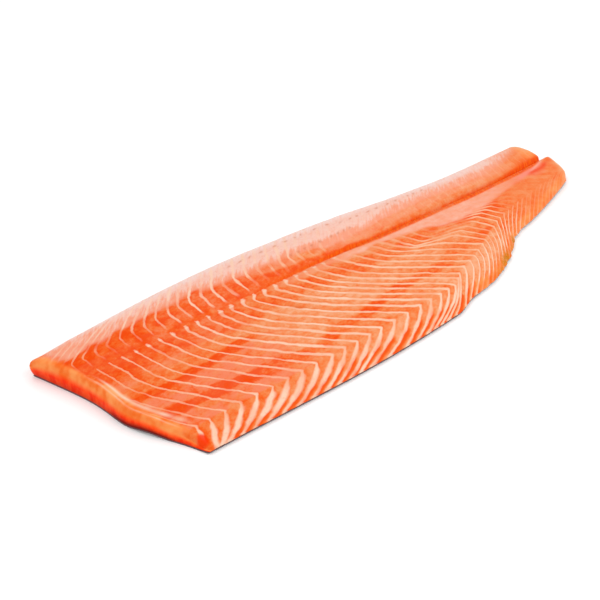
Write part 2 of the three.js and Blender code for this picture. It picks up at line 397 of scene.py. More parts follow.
def lumps(x, y, size, seed):
    """Smooth random values from -1 to 1 over the plane. The size is (along x, along y)."""
    table = np.random.default_rng(seed).uniform(-1, 1, (LUMP_COUNT, LUMP_COUNT))
    u = x / size[0]
    v = y / size[1]
    i = np.floor(u).astype(int)
    j = np.floor(v).astype(int)
    s = rise(u - i, 0, 1)
    t = rise(v - j, 0, 1)

    def corner(di, dj):
        return table[(i + di) % LUMP_COUNT, (j + dj) % LUMP_COUNT]

    near = corner(0, 0) * (1 - s) + corner(1, 0) * s
    far = corner(0, 1) * (1 - s) + corner(1, 1) * s
    return near * (1 - t) + far * t


# ---- The form of the side ----

def belly_edge(x):
    """The belly edge as seen from above, finely ragged and nicked at the vent."""
    uneven = lumps(x, 0 * x, (RAGGED_LENGTH, 1), seed=61)
    ragged = RAGGED_DEPTH * uneven * band(x, *RAGGED_SPAN)
    return curve(BELLY_EDGE, x) + ragged + NICK_DEPTH * hill(x, NICK_X, NICK_HALF_WIDTH)


def head_cut(across):
    straight = HEAD_CUT_BELLY_X + (HEAD_CUT_BACK_X - HEAD_CUT_BELLY_X) * across
    return straight - HEAD_CUT_BOW * hill(across, HEAD_CUT_BOW_CENTRE, HEAD_CUT_BOW_SPREAD)


def crowded_steps(count):
    even = np.linspace(0, 1, count + 1)
    return even - END_CROWDING * np.sin(2 * math.pi * even) / (2 * math.pi)


class Grid:
    """Places over the side in rows from head to tail and columns from belly to back."""

    def __init__(self, rows, belly_columns, back_columns):
        belly = crowded_steps(belly_columns)
        back = crowded_steps(back_columns)[1:]
        share = np.concatenate([belly, back])
        is_back = np.concatenate([np.zeros(len(belly), bool), np.ones(len(back), bool)])
        self.along, self.share = np.meshgrid(crowded_steps(rows), share, indexing="ij")
        self.is_back = np.broadcast_to(is_back, self.along.shape)
        self.across = np.full(self.along.shape, 0.5)
        for _ in range(SETTLING_ROUNDS):
            self.settle()
        self.from_head = self.x - head_cut(self.across)
        self.from_tail = curve(TAIL_CUT, self.across) - self.x

    def settle(self):
        """Moves x and y closer to agreeing, as the cuts depend on y and the edges on x."""
        head = head_cut(self.across)
        self.x = head + (curve(TAIL_CUT, self.across) - head) * self.along
        low = belly_edge(self.x)
        middle = curve(LATERAL_LINE, self.x)
        high = curve(BACK_EDGE, self.x)
        on_belly = low + (middle - low) * self.share
        on_back = middle + (high - middle) * self.share
        self.y = np.where(self.is_back, on_back, on_belly)
        self.across = (self.y - low) / (high - low)

    def underside(self):
        """Height of the underside, which lifts off the board at its rims."""
        from_back = np.maximum(0, 1 - (curve(BACK_EDGE, self.x) - self.y) / BACK_LIFT_WIDTH)
        back_lift = BACK_LIFT * rise(self.from_head, 0, BACK_LIFT_START) * from_back ** 2
        from_belly = np.maximum(0, 1 - (self.y - belly_edge(self.x)) / BELLY_LIFT_WIDTH)
        beside_arch = np.abs(self.y - HEAD_ARCH_CENTRE_Y) / HEAD_ARCH_HALF_WIDTH
        at_head = np.maximum(0, 1 - self.from_head / HEAD_ARCH_LENGTH) ** 2
        arch = rise(1 - beside_arch, 0, 1) * at_head
        return back_lift + BELLY_LIFT * from_belly ** 2 + HEAD_ARCH_HEIGHT * arch

    def section(self, section):
        rows = [smooth_through(THICKNESS_STATIONS, sizes, self.along) for sizes in section.values()]
        return smooth_through(list(section), rows, self.share)

    def thickness(self):
        """Thickness of the flesh, with the crease, the thin tail and the rounded head rim."""
        thickness = np.where(self.is_back, self.section(BACK_SECTION), self.section(BELLY_SECTION))
        from_lateral = np.abs(self.y - curve(LATERAL_LINE, self.x))
        crease = curve(CREASE_DEPTH, self.along) * np.exp(-from_lateral / CREASE_HALF_WIDTH)
        tail_left = 1 - TAIL_ROUND_DROP * (1 - quarter_round(self.from_tail, TAIL_ROUND_LENGTH))
        head_loss = HEAD_RIM_RADIUS * (1 - quarter_round(self.from_head, HEAD_RIM_RADIUS))
        return np.maximum(THINNEST_FLESH, (thickness - crease) * tail_left - head_loss)


# ---- Muscle lines ----

def line_index(x):
    """Counts the muscle lines along the lateral line: a whole number lies on a line."""
    places = np.arange(-COUNT_REACH, COUNT_REACH, COUNT_STEP)
    counted = np.cumsum(COUNT_STEP / curve(LINE_SPACING, places))
    return np.interp(x, places, counted - np.interp(FIRST_BASE, places, counted))


def fold_y(x):
    return np.maximum(curve(FOLD_Y, x), curve(BELLY_EDGE, x) + FOLD_MARGIN)


def soft_rise(value):
    """0 below nothing and the value above it, with a soft bend between the two."""
    return (np.sqrt(value ** 2 + BEND_SOFTNESS ** 2) + value) / 2


def sweep_share(base, down):
    """The share of its sweep that a line has gained, by the share of the way to its fold."""
    start = curve(BEND_START, base)
    before = soft_rise(-start)
    bent = (soft_rise(down - start) - before) / (soft_rise(1 - start) - before)
    bend_share = 1 - UPRIGHT_SHARE - TIP_SHARE
    share = UPRIGHT_SHARE * down + bend_share * bent + TIP_SHARE * down ** TIP_POWER
    shoulder = rise(down, curve(SHOULDER_START, base), curve(SHOULDER_END, base))
    return share + curve(SHOULDER_SHARE, base) * (shoulder - share)


def line_sweep(base, x, y):
    """How far tailward of its base the line is at a place."""
    lateral = curve(LATERAL_LINE, base)
    sweep = curve(FOLD_SWEEP, base)
    fold = fold_y(base + sweep)
    down = np.clip((lateral - y) / (lateral - fold), 0, 1)
    past = np.clip((fold - y) / (fold - curve(BELLY_EDGE, x)), 0, RETURN_LIMIT)
    straight = curve(RETURN_STRAIGHT, base)
    back = straight * past + (1 - straight) * past ** curve(RETURN_POWER, base)
    hook = curve(HOOK_SIZE, base) * rise(lateral - y, 0, HOOK_LENGTH) * (1 - down)
    on_belly = sweep * sweep_share(base, down) - curve(BELLY_RETURN, base) * back - hook
    past_bend = np.maximum(0, y - curve(LOIN_BEND_Y, base))
    on_loin = curve(LOIN_SLANT, base) * past_bend ** 2 / (past_bend + LOIN_BEND_LENGTH)
    return np.where(y > lateral, on_loin, on_belly)


def line_base(x, y):
    """The base of the muscle line through each place, found in a few rounds."""
    base = x - 0.5 * curve(FOLD_SWEEP, x)
    for _ in range(BASE_ROUNDS):
        base = BASE_KEPT * base + (1 - BASE_KEPT) * (x - line_sweep(base, x, y))
    return base


def line_phase(base, x, y):
    """The lines counted at each place, with each line straying a little."""
    wander = lumps(x, y, COARSE_WANDER, seed=3) + 0.6 * lumps(x, y, FINE_WANDER, seed=4)
    return line_index(base) + LINE_WANDER * wander


def steepness(x, y, values):
    """How much the values on a grid change in a millimetre, where they change fastest."""
    x_down, x_over = np.gradient(x)
    y_down, y_over = np.gradient(y)
    down, over = np.gradient(values)
    area = x_down * y_over - x_over * y_down
    by_x = (down * y_over - over * y_down) / area
    by_y = (over * x_down - down * x_over) / area
    return np.hypot(by_x, by_y)


# ---- Zones of the flesh ----

class Place:
    """Where each point of the flesh lies, measured from its edges and its muscle lines."""

    def __init__(self, grid):
        self.x = grid.x
        self.y = grid.y
        self.from_head = grid.from_head
        self.from_tail = grid.from_tail
        self.above = self.y - curve(LATERAL_LINE, self.x)
        self.from_belly = self.y - curve(BELLY_EDGE, self.x)
        self.from_back = curve(BACK_EDGE, self.x) - self.y
        self.past_fold = fold_y(self.x) - self.y
        self.past_share = self.past_fold / np.maximum(1, self.past_fold + self.from_belly)
        base = line_base(self.x, self.y)
        self.line_slope = steepness(self.x, self.y, line_index(base))
        self.phase = line_phase(base, self.x, self.y)
        self.block = np.floor(self.phase).astype(int)
        self.line = np.round(self.phase).astype(int)
        self.rough = lumps(self.x, self.y, (9, 5), seed=11)
        self.fine = lumps(self.x, self.y, (4, 2.5), seed=12)


def each(index, seed):
    """A random value from 0 to 1 for each muscle block or line."""
    return np.random.default_rng(seed).random(EACH_COUNT)[index % EACH_COUNT]


def streak(p, centre, strength, half_height, span, seed):
    """A row of deep patches, partly painted shade, one to a muscle block, each of its own strength
    and height.
    """
    middle = curve(centre, p.x) + PATCH_STRAY * (each(p.block, seed) - 0.5)
    tall = curve(half_height, p.x) * (0.75 + 0.5 * each(p.block, seed + 1))
    own_strength = 0.55 + 0.45 * each(p.block, seed + 2)
    shape = rise(1.3 - np.abs(p.y - middle) / tall, 0, 0.6)
    return curve(strength, p.x) * (shape * own_strength * band(p.x, *span))


def belt_of(p):
    """How far into the deep belt along the belly edge, which lies past the folds."""
    within = band(p.x, *BELT_SPAN) * (p.past_fold > 0)
    return (p.past_share - curve(BELT_DELAY, p.x)) * within


def band_end_of(p):
    """Where the deep band beside the lateral line ends on the loin."""
    return curve(DEEP_BAND_END_Y, p.x) + 0.8 * p.rough


def belly_depth_of(p):
    belly = curve(BELLY_DEPTH, p.x) + BLOCK_VARIETY * (2 * each(p.block, seed=71) - 1)
    crown_start = curve(CROWN_START_Y, p.x)
    on_crown = rise(p.y, crown_start, crown_start + 8)
    belly = belly + curve(CROWN_DEPTH, p.x) * on_crown
    belly = belly + most(*(streak(p, *row) for row in DEEP_STREAKS))
    for change, along, across, ends_at_folds in DEPTH_PATCHES:
        patch = change * band(p.x, *along) * band(p.y, *across)
        belly = belly + np.where(ends_at_folds & (p.past_fold >= 0), 0, patch)
    behind_folds = band(p.x, *BEHIND_FOLDS_SPAN) * (p.past_fold > 0)
    behind_folds = behind_folds * rise(p.from_belly, 4, 8)
    return belly * (1 - 0.6 * behind_folds)


def loin_depth_of(p):
    loin = curve(LOIN_DEPTH, p.x) + 0.08 * p.rough
    band_end = band_end_of(p)
    in_band = fall(p.y, band_end - 1.5, band_end + 1.5)
    in_band = in_band * rise(p.x, *DEEP_BAND_START)
    at_notch = fall(p.above, 1, 9) * rise(p.x, *NOTCH_START)
    return loin + (DEEP_BAND_DEPTH - loin) * most(in_band, at_notch)


def depth_of(p):
    """Depth of the orange: 0 is the palest flesh and 1 the deepest."""
    depth = np.where(p.above > 0, loin_depth_of(p), belly_depth_of(p))
    return depth + 0.05 * p.rough + 0.05 * p.fine


def rosy_of(p):
    """Places where the orange is pinker: low on the fore belly and up the middle of the loin."""
    fore = fall(p.x, *ROSY_FORE_END)
    belly = fore * fall(p.y, -18, -12) * (p.past_fold < 0)
    crown = fore * rise(p.y, -4, 2) * (p.above < 8)
    loin = band(p.x, *ROSY_LOIN_SPAN) * (p.above > 0)
    tail = band(p.x, *ROSY_TAIL_SPAN) * band(p.y, 3, 14, 2)
    return most(0.8 * belly, 0.5 * crown, 0.5 * loin, 0.9 * tail)


def groove_of(p):
    """Deep orange in the groove beneath the lateral line, partly its own colour and partly painted
    shade.
    """
    top = curve(GROOVE_TOP_Y, p.x)
    foot = curve(GROOVE_FOOT_Y, p.x)
    soft = curve(GROOVE_FOOT_SOFTNESS, p.x)
    fade = curve(GROOVE_TOP_SOFTNESS, p.x)
    inside = fall(p.y, top - fade, top + fade) * rise(p.y, foot - soft, foot + soft)
    first_gap, second_gap = (band(p.x, *span) for span in GROOVE_GAP_SPANS)
    inside = inside * (1 - 0.35 * first_gap - 0.2 * second_gap)
    thin = 0.5 + 0.5 * rise(p.fine + 0.6 * p.rough, -0.5, 0.4)
    full = rise(p.x, -20, 10)
    return inside * rise(p.x, *GROOVE_START) * (thin + (1 - thin) * full)


def spot_of(p):
    """A deep spot at the belly corner of the head end, over the rim."""
    along, across = SPOT_PLACE
    near = hill(p.x, along, SPOT_HALF_WIDTH) * hill(p.y, across, SPOT_HALF_WIDTH)
    return rise(near, 0.3, 0.7)


def strip_of(p):
    """The smooth pinkish strip beneath the groove, which has hardly any lines."""
    foot = curve(STRIP_FOOT_Y, p.x) + 1.5 * p.rough + 2 * (each(p.block, seed=84) - 0.5)
    top = curve(GROOVE_FOOT_Y, p.x)
    strip = rise(p.y, foot - 2, foot + 2) * fall(p.y, top - 1, top + 0.6)
    fore = 0.35 + 0.65 * rise(p.x, -25, 10)
    rear = fall(p.x, *STRIP_END) * (1 - 0.2 * rise(p.x, 108, 122))
    return strip * fore * rise(p.x, *STRIP_START) * rear


def loin_sheen_of(p):
    """Tissue and painted sheen on the loin, how pale it is, and the whiter painted gleam along the
    back.
    """
    ragged = 1.4 * p.rough + 0.7 * p.fine + 2.4 * (each(p.block, seed=86) - 0.5)
    start = curve(SHEEN_START_Y, p.x) + ragged * (1 - 0.6 * rise(p.x, -10, 20))
    soft = curve(SHEEN_SOFTNESS, p.x)
    sheen = rise(p.y, start - soft, start + soft) * (p.above > 0)
    sheen = sheen * (1 - 0.3 * rise(p.x, 160, 205)) * rise(p.from_back, -1, 2)
    sheen = sheen * rise(p.from_head + 2 * p.fine, 2, 9)
    thin = 0.4 * rise(p.y, 20, 23) * band(p.x, 10, 175, 14)
    sheen = most(sheen, thin)
    pale_start = curve(PALE_START_Y, p.x) + 0.5 * ragged
    pale = rise(p.y, pale_start, pale_start + curve(PALE_RISE, p.x))
    pale = pale * (0.1 + 0.9 * rise(p.from_head, 10, 70))
    pale = pale * (1 - 0.45 * rise(p.x, 160, 195))
    gleam_start = curve(GLEAM_START_Y, p.x)
    gleam = rise(p.y, gleam_start - 1, gleam_start + 7) * rise(p.from_back, 1, 4)
    gleam = gleam * fall(p.x, 135, 190) * rise(p.from_head, 4, 16)
    return sheen, pale, gleam


def gold_of(p):
    """Yellower places: the rim of the head cut, the tail end of the loin and the vent's edge."""
    width = curve(GOLD_RIM_WIDTH, p.y)
    rim = fall(p.from_head, width - 2, width + 2) * band(p.y, *GOLD_RIM_SPAN)
    tail = 0.8 * rise(p.x, 192, 214) * rise(p.above, 2, 6)
    vent = 0.8 * band(p.x, *GOLD_VENT_SPAN) * fall(p.from_belly, 3, 6.5)
    edge = 0.65 * rise(p.x, 106, 140) * fall(p.from_belly, 2, 6)
    return most(rim, tail, vent, edge)


def olive_of(p):
    """Olive places at the vent: a patch, a small tip behind it and the edge along both."""
    patch = 1.2 * hill(p.x, 86, 7) * hill(p.from_belly, 1.5, 3)
    tip = 1.2 * hill(p.x, 109.5, 4) * hill(p.from_belly, 0.5, 2.4)
    edge = 0.6 * band(p.x, 66, 114, 8) * hill(p.from_belly, 0, 2)
    return most(patch, tip, edge)


def dash_row(p, row, span, spacing, slant):
    """A row of small brownish dashes on a gently curved line."""
    across = p.y - curve(row, p.x)
    turn = (p.x - slant * across) / spacing + 0.35 * p.rough
    dash = rise(np.cos(2 * math.pi * turn), 0.3, 0.9)
    return dash * hill(across, 0, 1.1) * band(p.x, *span)


def dash_of(p):
    """All the rows of dashes, which fade out just before the back edge."""
    rows = [dash_row(p, *row) for row in DASH_ROWS]
    return np.maximum.reduce(rows) * rise(p.from_back, 0.5, 2.5)


def shade_of(p):
    """Painted shade: brownish dabs on the lines' tail side over the middle of the belly half."""
    within = p.phase - p.block
    dabs = hill(p.y, -10, 7) * band(p.x, -118, -48, 6) * hill(within, 0.22, 0.14)
    return dabs * rise(each(p.block, seed=81) + 0.3 * p.fine, 0.25, 0.7)


def red_of(p):
    """The red muscle that shows along the tail, on either side of a whitish streak."""
    below = hill(p.y, curve(RED_BELOW_Y, p.x), 2) * rise(p.x, 179, 186)
    above = 0.95 * hill(p.y, curve(RED_ABOVE_Y, p.x), 2) * rise(p.x, 172, 186)
    return most(below, above) * (p.above < 0) * (1 - 0.6 * rise(p.x, 203, 210))


def pink_of(p):
    """A pink streak beneath the groove near the tail, between the strands of red muscle."""
    return hill(p.y, curve(PINK_Y, p.x), 2.6) * band(p.x, 168, 204, 6)


def end_pale_of(p):
    """The thin ends of the two tail lobes, paler and yellower than the flesh behind them."""
    lobe = np.where(p.above > 2, rise(p.y, 23, 35), 0.55 * fall(p.y, 7, 14))
    return lobe * fall(p.from_tail, 4, 12)


def pale_marks_and_highlight_of(p):
    """Whitish rims beside both cuts, a painted highlight on the rounded tail end, a whitish tail
    streak.
    """
    inner_at = curve(RIM_LINE_AT, p.y)
    inner_line = hill(p.from_head, inner_at, curve(RIM_LINE_HALF_WIDTH, p.y))
    inner_line = inner_line * band(p.y, *RIM_LINE_SPAN)
    outer_line = 0.6 * hill(p.from_head, 2.4 + 0.3 * p.rough, 0.6)
    outer_line = outer_line * band(p.y, -40, 22, 6)
    rim_line = most(inner_line, outer_line) * (0.7 + 0.4 * p.rough)
    # A painted highlight on the rounded tail end.
    tail_gleam = hill(p.from_tail, 2, 1.6) * band(p.above, -18, -2, 3)
    tail_rim = 0.7 * hill(p.from_tail, 2.5, 0.8) * band(p.y, 26, 44, 4)
    tail_streak = 0.35 * hill(p.y, curve(TAIL_STREAK_Y, p.x), 1)
    tail_streak = tail_streak * rise(p.x, 180, 196) * (0.8 + 0.3 * p.fine)
    return most(rim_line, tail_gleam, tail_rim, tail_streak)


def belly_lines_of(p, strip, stripe, tip, crown, unbroken):
    """Strength of the lines on the belly half."""
    belly = curve(LINE_STRENGTH, p.x) * (0.85 + 0.3 * each(p.line, seed=92))
    belly = belly * (0.6 + 0.4 * unbroken)
    belly = belly + 0.3 * stripe * band(p.x, *STRONG_STRIPE_SPAN)
    belly = belly * (1 - 0.8 * strip)
    over_folds = rise(p.y, -16, -9) * band(p.x, *FAINT_LINES_SPAN)
    belly = belly * (1 - 0.55 * crown) * (1 - 0.75 * over_folds)
    belly = belly * (1 - 0.7 * rise(p.x, *FAINT_TAIL_START) * (p.past_fold < 0))
    at_vent = band(p.x, *VENT_SPAN) * fall(p.from_belly, 2.5, 5)
    return np.maximum(belly * (1 - 0.7 * at_vent), 0.95 * tip)


def loin_lines_of(p, unbroken):
    """Strength of the lines on the loin, which are weak in the deep band and at both ends."""
    in_band = fall(p.y, band_end_of(p) - 1, band_end_of(p) + 3)
    loin = curve(LOIN_LINE_STRENGTH, p.x) * (0.6 + 0.6 * each(p.line, seed=93))
    loin = loin * (1 - 0.8 * in_band * rise(p.x, -85, -60))
    loin = loin * (0.4 + 0.6 * unbroken) * rise(p.above, 2, 6)
    loin = loin * (0.2 + 0.8 * rise(p.from_back, 3, 12))
    at_head = fall(p.x, -165, -125) * fall(p.y, 34, 40)
    return loin * (1 - 0.6 * at_head)


def lines_of(p, strip, sheen, groove):
    """The pale lines' half widths in mm, their strength and how white they are."""
    below = p.above <= 0
    tip = hill(p.above, -2.2, 1.6) * band(p.x, *LINE_TIP_SPAN) * below
    belt = rise(belt_of(p), 0.5, 0.72)
    fold_tip = hill(p.past_fold, 0, 1.6) * band(p.x, *FOLD_TIP_SPAN)
    stripe = rise(p.past_share, 0, 0.35) * (1 - 0.75 * belt)
    half = curve(LINE_HALF_WIDTH, p.x) * (0.8 + 0.4 * each(p.line, seed=91))
    half = half * (1 - 0.5 * rise(p.past_share, 0, 0.1))
    half = half + curve(STRIPE_HALF_WIDTH, p.x) * stripe + 0.45 * tip + 0.2 * fold_tip
    crown = rise(p.y, -8, 4) * rise(p.x, -20, 20) * below
    half = half * (1 + 0.25 * p.fine) * (1 + 0.4 * crown)
    unbroken = rise(lumps(p.x, p.y, LINE_BREAK_SIZE, seed=21), -0.75, 0.1)
    belly = belly_lines_of(p, strip, stripe, tip, crown, unbroken)
    show = np.where(below, belly, loin_lines_of(p, unbroken))
    show = show * (1 - groove) * rise(p.from_head, 1, 7) * rise(p.from_tail, 0, 10)
    dull = 0.35 * rise(p.y, -6, 4) * band(p.x, *DULL_LINES_SPAN)
    white = curve(LINE_WHITENESS, p.x) + 0.5 * tip + 0.6 * stripe + 0.25 * fold_tip
    # Lines are whiter under the loin's painted sheen.
    return half, show, white + 0.3 * sheen - dull - 0.1 * belt


def calm_of(p):
    return rise(p.x, 120, 160)


# Where the painted shade at the foot of the head cut is strongest.
def foot_shade_of(p):
    return band(p.y, -42, 0, 8) * (p.x < 0)


# Each of these makes the zone that it is named after.
PLAIN_ZONES = (
    depth_of, belt_of, rosy_of, groove_of, strip_of, gold_of, olive_of, spot_of, red_of,
    dash_of, shade_of, pale_marks_and_highlight_of, calm_of, pink_of, end_pale_of, foot_shade_of,
)


def zones_of(p):
    """The looks of the flesh at each place, from 0 to 1 but for the lines' phase and width."""
    zones = {zone.__name__.removesuffix("_of"): zone(p) for zone in PLAIN_ZONES}
    sheen, pale, gleam = loin_sheen_of(p)
    half, show, white = lines_of(p, zones["strip"], sheen, zones["groove"])
    zones.update(sheen=sheen, pale=pale, gleam=gleam, line_show=show, line_white=white)
    zones = {name: np.clip(values, 0, 1) for name, values in zones.items()}
    zones["line_phase"] = p.phase
    zones["line_half"] = half * p.line_slope
    return zones


def relief_of(p, zones):
    """Height of the small relief: blocks that swell between their lines, and soft lumps."""
    to_line = np.abs(p.phase - p.line)
    swell = BLOCK_SWELL * zones["line_show"] * (np.sqrt(np.clip(2 * to_line, 0, 1)) - 0.6)
    fibres = 0.07 * lumps(p.x, p.y, (5, 2.4), seed=31) + 0.06 * lumps(p.x, p.y, (2.4, 2), seed=32)
    lip = LIP_HEIGHT * hill(p.above, -3.5, 2.5) * rise(p.x, -75, -30)
    return swell + fibres + lip + 0.12 * lumps(p.x, p.y, (16, 10), seed=33)


# ---- Meshes ----

def ring_places(rows, columns):
    """The rows and the columns of the places on a grid's rim, in order once round it."""
    down = np.arange(rows - 1)
    over = np.arange(columns - 1)
    i = np.concatenate([down, 0 * over + rows - 1, rows - 1 - down, 0 * over])
    j = np.concatenate([0 * down, over, 0 * down + columns - 1, columns - 1 - over])
    return i, j


def ring_outward(points):
    """Outward directions in the plane at the points of a closed ring."""
    along = np.roll(points, -1, 0) - np.roll(points, 1, 0)
    outward = np.stack([along[:, 1], -along[:, 0]], 1)
    return outward / np.maximum(1e-6, np.linalg.norm(outward, axis=1, keepdims=True))


def shell_mesh(name, near, far, layers, wall_shape, near_is_top):
    """A closed mesh between a fine grid and a coarser one, joined by layers round the rim."""
    rows, columns = near.shape[:2]
    points, source, depth = [], [], []

    def add(places, sources, share):
        """Adds points with the grid places that they follow, and gives their own numbers."""
        first = sum(len(part) for part in source)
        points.append(places.reshape(-1, 3))
        source.append(sources.reshape(-1))
        depth.append(np.full(sources.size, float(share)))
        return first + np.arange(sources.size).reshape(sources.shape)

    near_index = add(near, np.arange(rows * columns).reshape(rows, columns), 0)
    ring = ring_places(rows, columns)
    outward = ring_outward(near[ring][:, :2])
    levels = [near_index[ring]]
    for layer in range(1, layers + 1):
        share = layer / layers
        wall = near[ring] + (far[ring] - near[ring]) * share
        wall[:, :2] += outward * wall_shape(near[ring], share)[:, None]
        levels.append(add(wall, levels[0], share))
    far_index = np.full((rows, columns), -1)
    far_index[ring] = levels[-1]
    inner_rows = np.arange(FAR_STEP, rows - 1, FAR_STEP)
    inner_columns = np.arange(FAR_STEP, columns - 1, FAR_STEP)
    inner = np.ix_(inner_rows, inner_columns)
    far_index[inner] = add(far[inner], near_index[inner], 1)

    faces = []
    quads = np.stack(
        [near_index[:-1, :-1], near_index[1:, :-1], near_index[1:, 1:], near_index[:-1, 1:]], -1
    )
    faces.extend(quads.reshape(-1, 4).tolist())
    for upper, lower in zip(levels, levels[1:]):
        after = np.roll(upper, -1)
        after_lower = np.roll(lower, -1)
        faces.extend(np.stack([upper, lower, after_lower, after], 1).tolist())
    for i in range(0, rows - 1, FAR_STEP):
        for j in range(0, columns - 1, FAR_STEP):
            faces.append(far_cell(far_index, i, j))
    if not near_is_top:
        faces = [face[::-1] for face in faces]

    mesh = bpy.data.meshes.new(name)
    mesh.from_pydata((np.concatenate(points) * MM).tolist(), [], faces)
    mesh.update()
    mesh.polygons.foreach_set("use_smooth", np.ones(len(mesh.polygons), bool))
    return new_object(name, mesh), np.concatenate(source), np.concatenate(depth)


def far_cell(index, i, j):
    """One face of the coarse grid, with every rim point that lies on its sides."""
    steps = range(FAR_STEP)
    places = [(i, j + k) for k in steps]
    places += [(i + k, j + FAR_STEP) for k in steps]
    places += [(i + FAR_STEP, j + FAR_STEP - k) for k in steps]
    places += [(i + FAR_STEP - k, j) for k in steps]
    return [int(index[place]) for place in places if index[place] >= 0]


def new_object(name, data):
    made = bpy.data.objects.new(name, data)
    bpy.context.collection.objects.link(made)
    return made


def add_attribute(piece, name, values, source):
    """Gives each point the value of the grid place that it follows."""
    attribute = piece.data.attributes.new(name, "FLOAT", "POINT")
    attribute.data.foreach_set("value", values.reshape(-1)[source].astype(np.float32))


# ---- Materials ----

def colour(red, green, blue):
    """A colour given as it looks in the stage's light, from 0 to 255, for a shader."""
    screen = np.array([red, green, blue]) / 255
    linear = np.where(screen <= 0.04045, screen / 12.92, ((screen + 0.055) / 1.055) ** 2.4)
    return (*(linear / LIGHT_LEVEL).tolist(), 1)


# Colours of the flesh from the palest to the deepest, at their shares of depth.
FLESH_TONES = [
    (0, colour(250, 174, 130)),
    (0.25, colour(248, 152, 98)),
    (0.5, colour(248, 130, 68)),
    (0.75, colour(249, 103, 34)),
    (1, colour(246, 77, 2)),
]

# The tones that are laid over it, by zone.
TONES = {
    "rosy": colour(250, 134, 100),
    # painted shade beside the lines
    "shade": colour(218, 96, 34),
    # painted highlight along the back, on pale tissue
    "gleam": colour(251, 216, 207),
    "pink": colour(254, 144, 126),
    "red": colour(248, 78, 34),
    "end_pale": colour(249, 180, 128),
    "dash": colour(218, 122, 84),
    "olive": colour(204, 128, 8),
    # whitish rims and streak, and the painted highlight on the tail end
    "pale_marks_and_highlight": colour(253, 220, 192),
    "spot": colour(254, 58, 2),
    "vessels": colour(246, 156, 130),
    # painted shade at the foot of the cut face
    "cut_foot_shade": colour(120, 8, 4),
}

# Pairs of colours that a noise or a zone mixes.
STRIP_TONES = (colour(253, 164, 130), colour(254, 186, 160))
# the loin's tissue under its painted sheen, from its start to its palest
TISSUE_AND_SHEEN_TONES = (colour(252, 163, 130), colour(252, 204, 187))
# the groove, partly painted shade of the crease
GROOVE_TONES = (colour(242, 74, 2), colour(254, 110, 16))
LINE_TONES = (colour(252, 174, 122), colour(255, 212, 184))
GOLD_TONES = (colour(258, 120, 38), colour(262, 164, 92))
CUT_TONES = (colour(262, 46, 2), colour(276, 92, 34))

# The skin from the belly up to the back, and its spots, the edges of its scales and its rim.
SILVER_TONES = (colour(196, 190, 192), colour(160, 156, 160))
SIDE_TONE = colour(146, 112, 116)
BACK_TONE = colour(46, 46, 44)
SPOT_TONE = colour(22, 22, 22)
SCALE_EDGE_TONE = colour(70, 66, 70)
RIM_TONE = colour(104, 58, 62)
FLOOR_TONES = ((0.93, 0.93, 0.93, 1), (0.95, 0.95, 0.95, 1))

# Noises: the size of their grains in mm, their detail and their turn about the upright.
CLOUD = ((14, 9, 12), 2)
MOTTLE = ((5.5, 4, 5), 4)
GRAIN = ((1.8, 1.5, 1.8), 2)
LINE_WAVER = ((4.4, 4.4, 4.4), 2)
SHEEN_STREAKS = ((9, 1.6, 9), 3, 48)
GROOVE_STREAKS = ((12, 1.1, 8), 2, 55)
CUT_FIBRES = ((4, 4, 14), 3)
FLESH_UNEVENNESS = ((3.4, 1.8, 2.4), 4)
SKIN_CLOUD = ((16, 16, 16), 3)
FLOOR_GRAIN = ((30, 30, 30), 2)
SKIN_SPOT_CELLS = (6.7, 6.7, 6.7)
SCALE_CELLS = (1.56, 1.32, 3.3)

FLESH_SURFACE = {
    "Specular IOR Level": 0.04,
    "Specular Tint": (1, 0.76, 0.62, 1),
    "Subsurface Weight": 0.05,
    "Subsurface Radius": (1, 0.35, 0.2),
    "Subsurface Scale": 1.5 * MM,
}


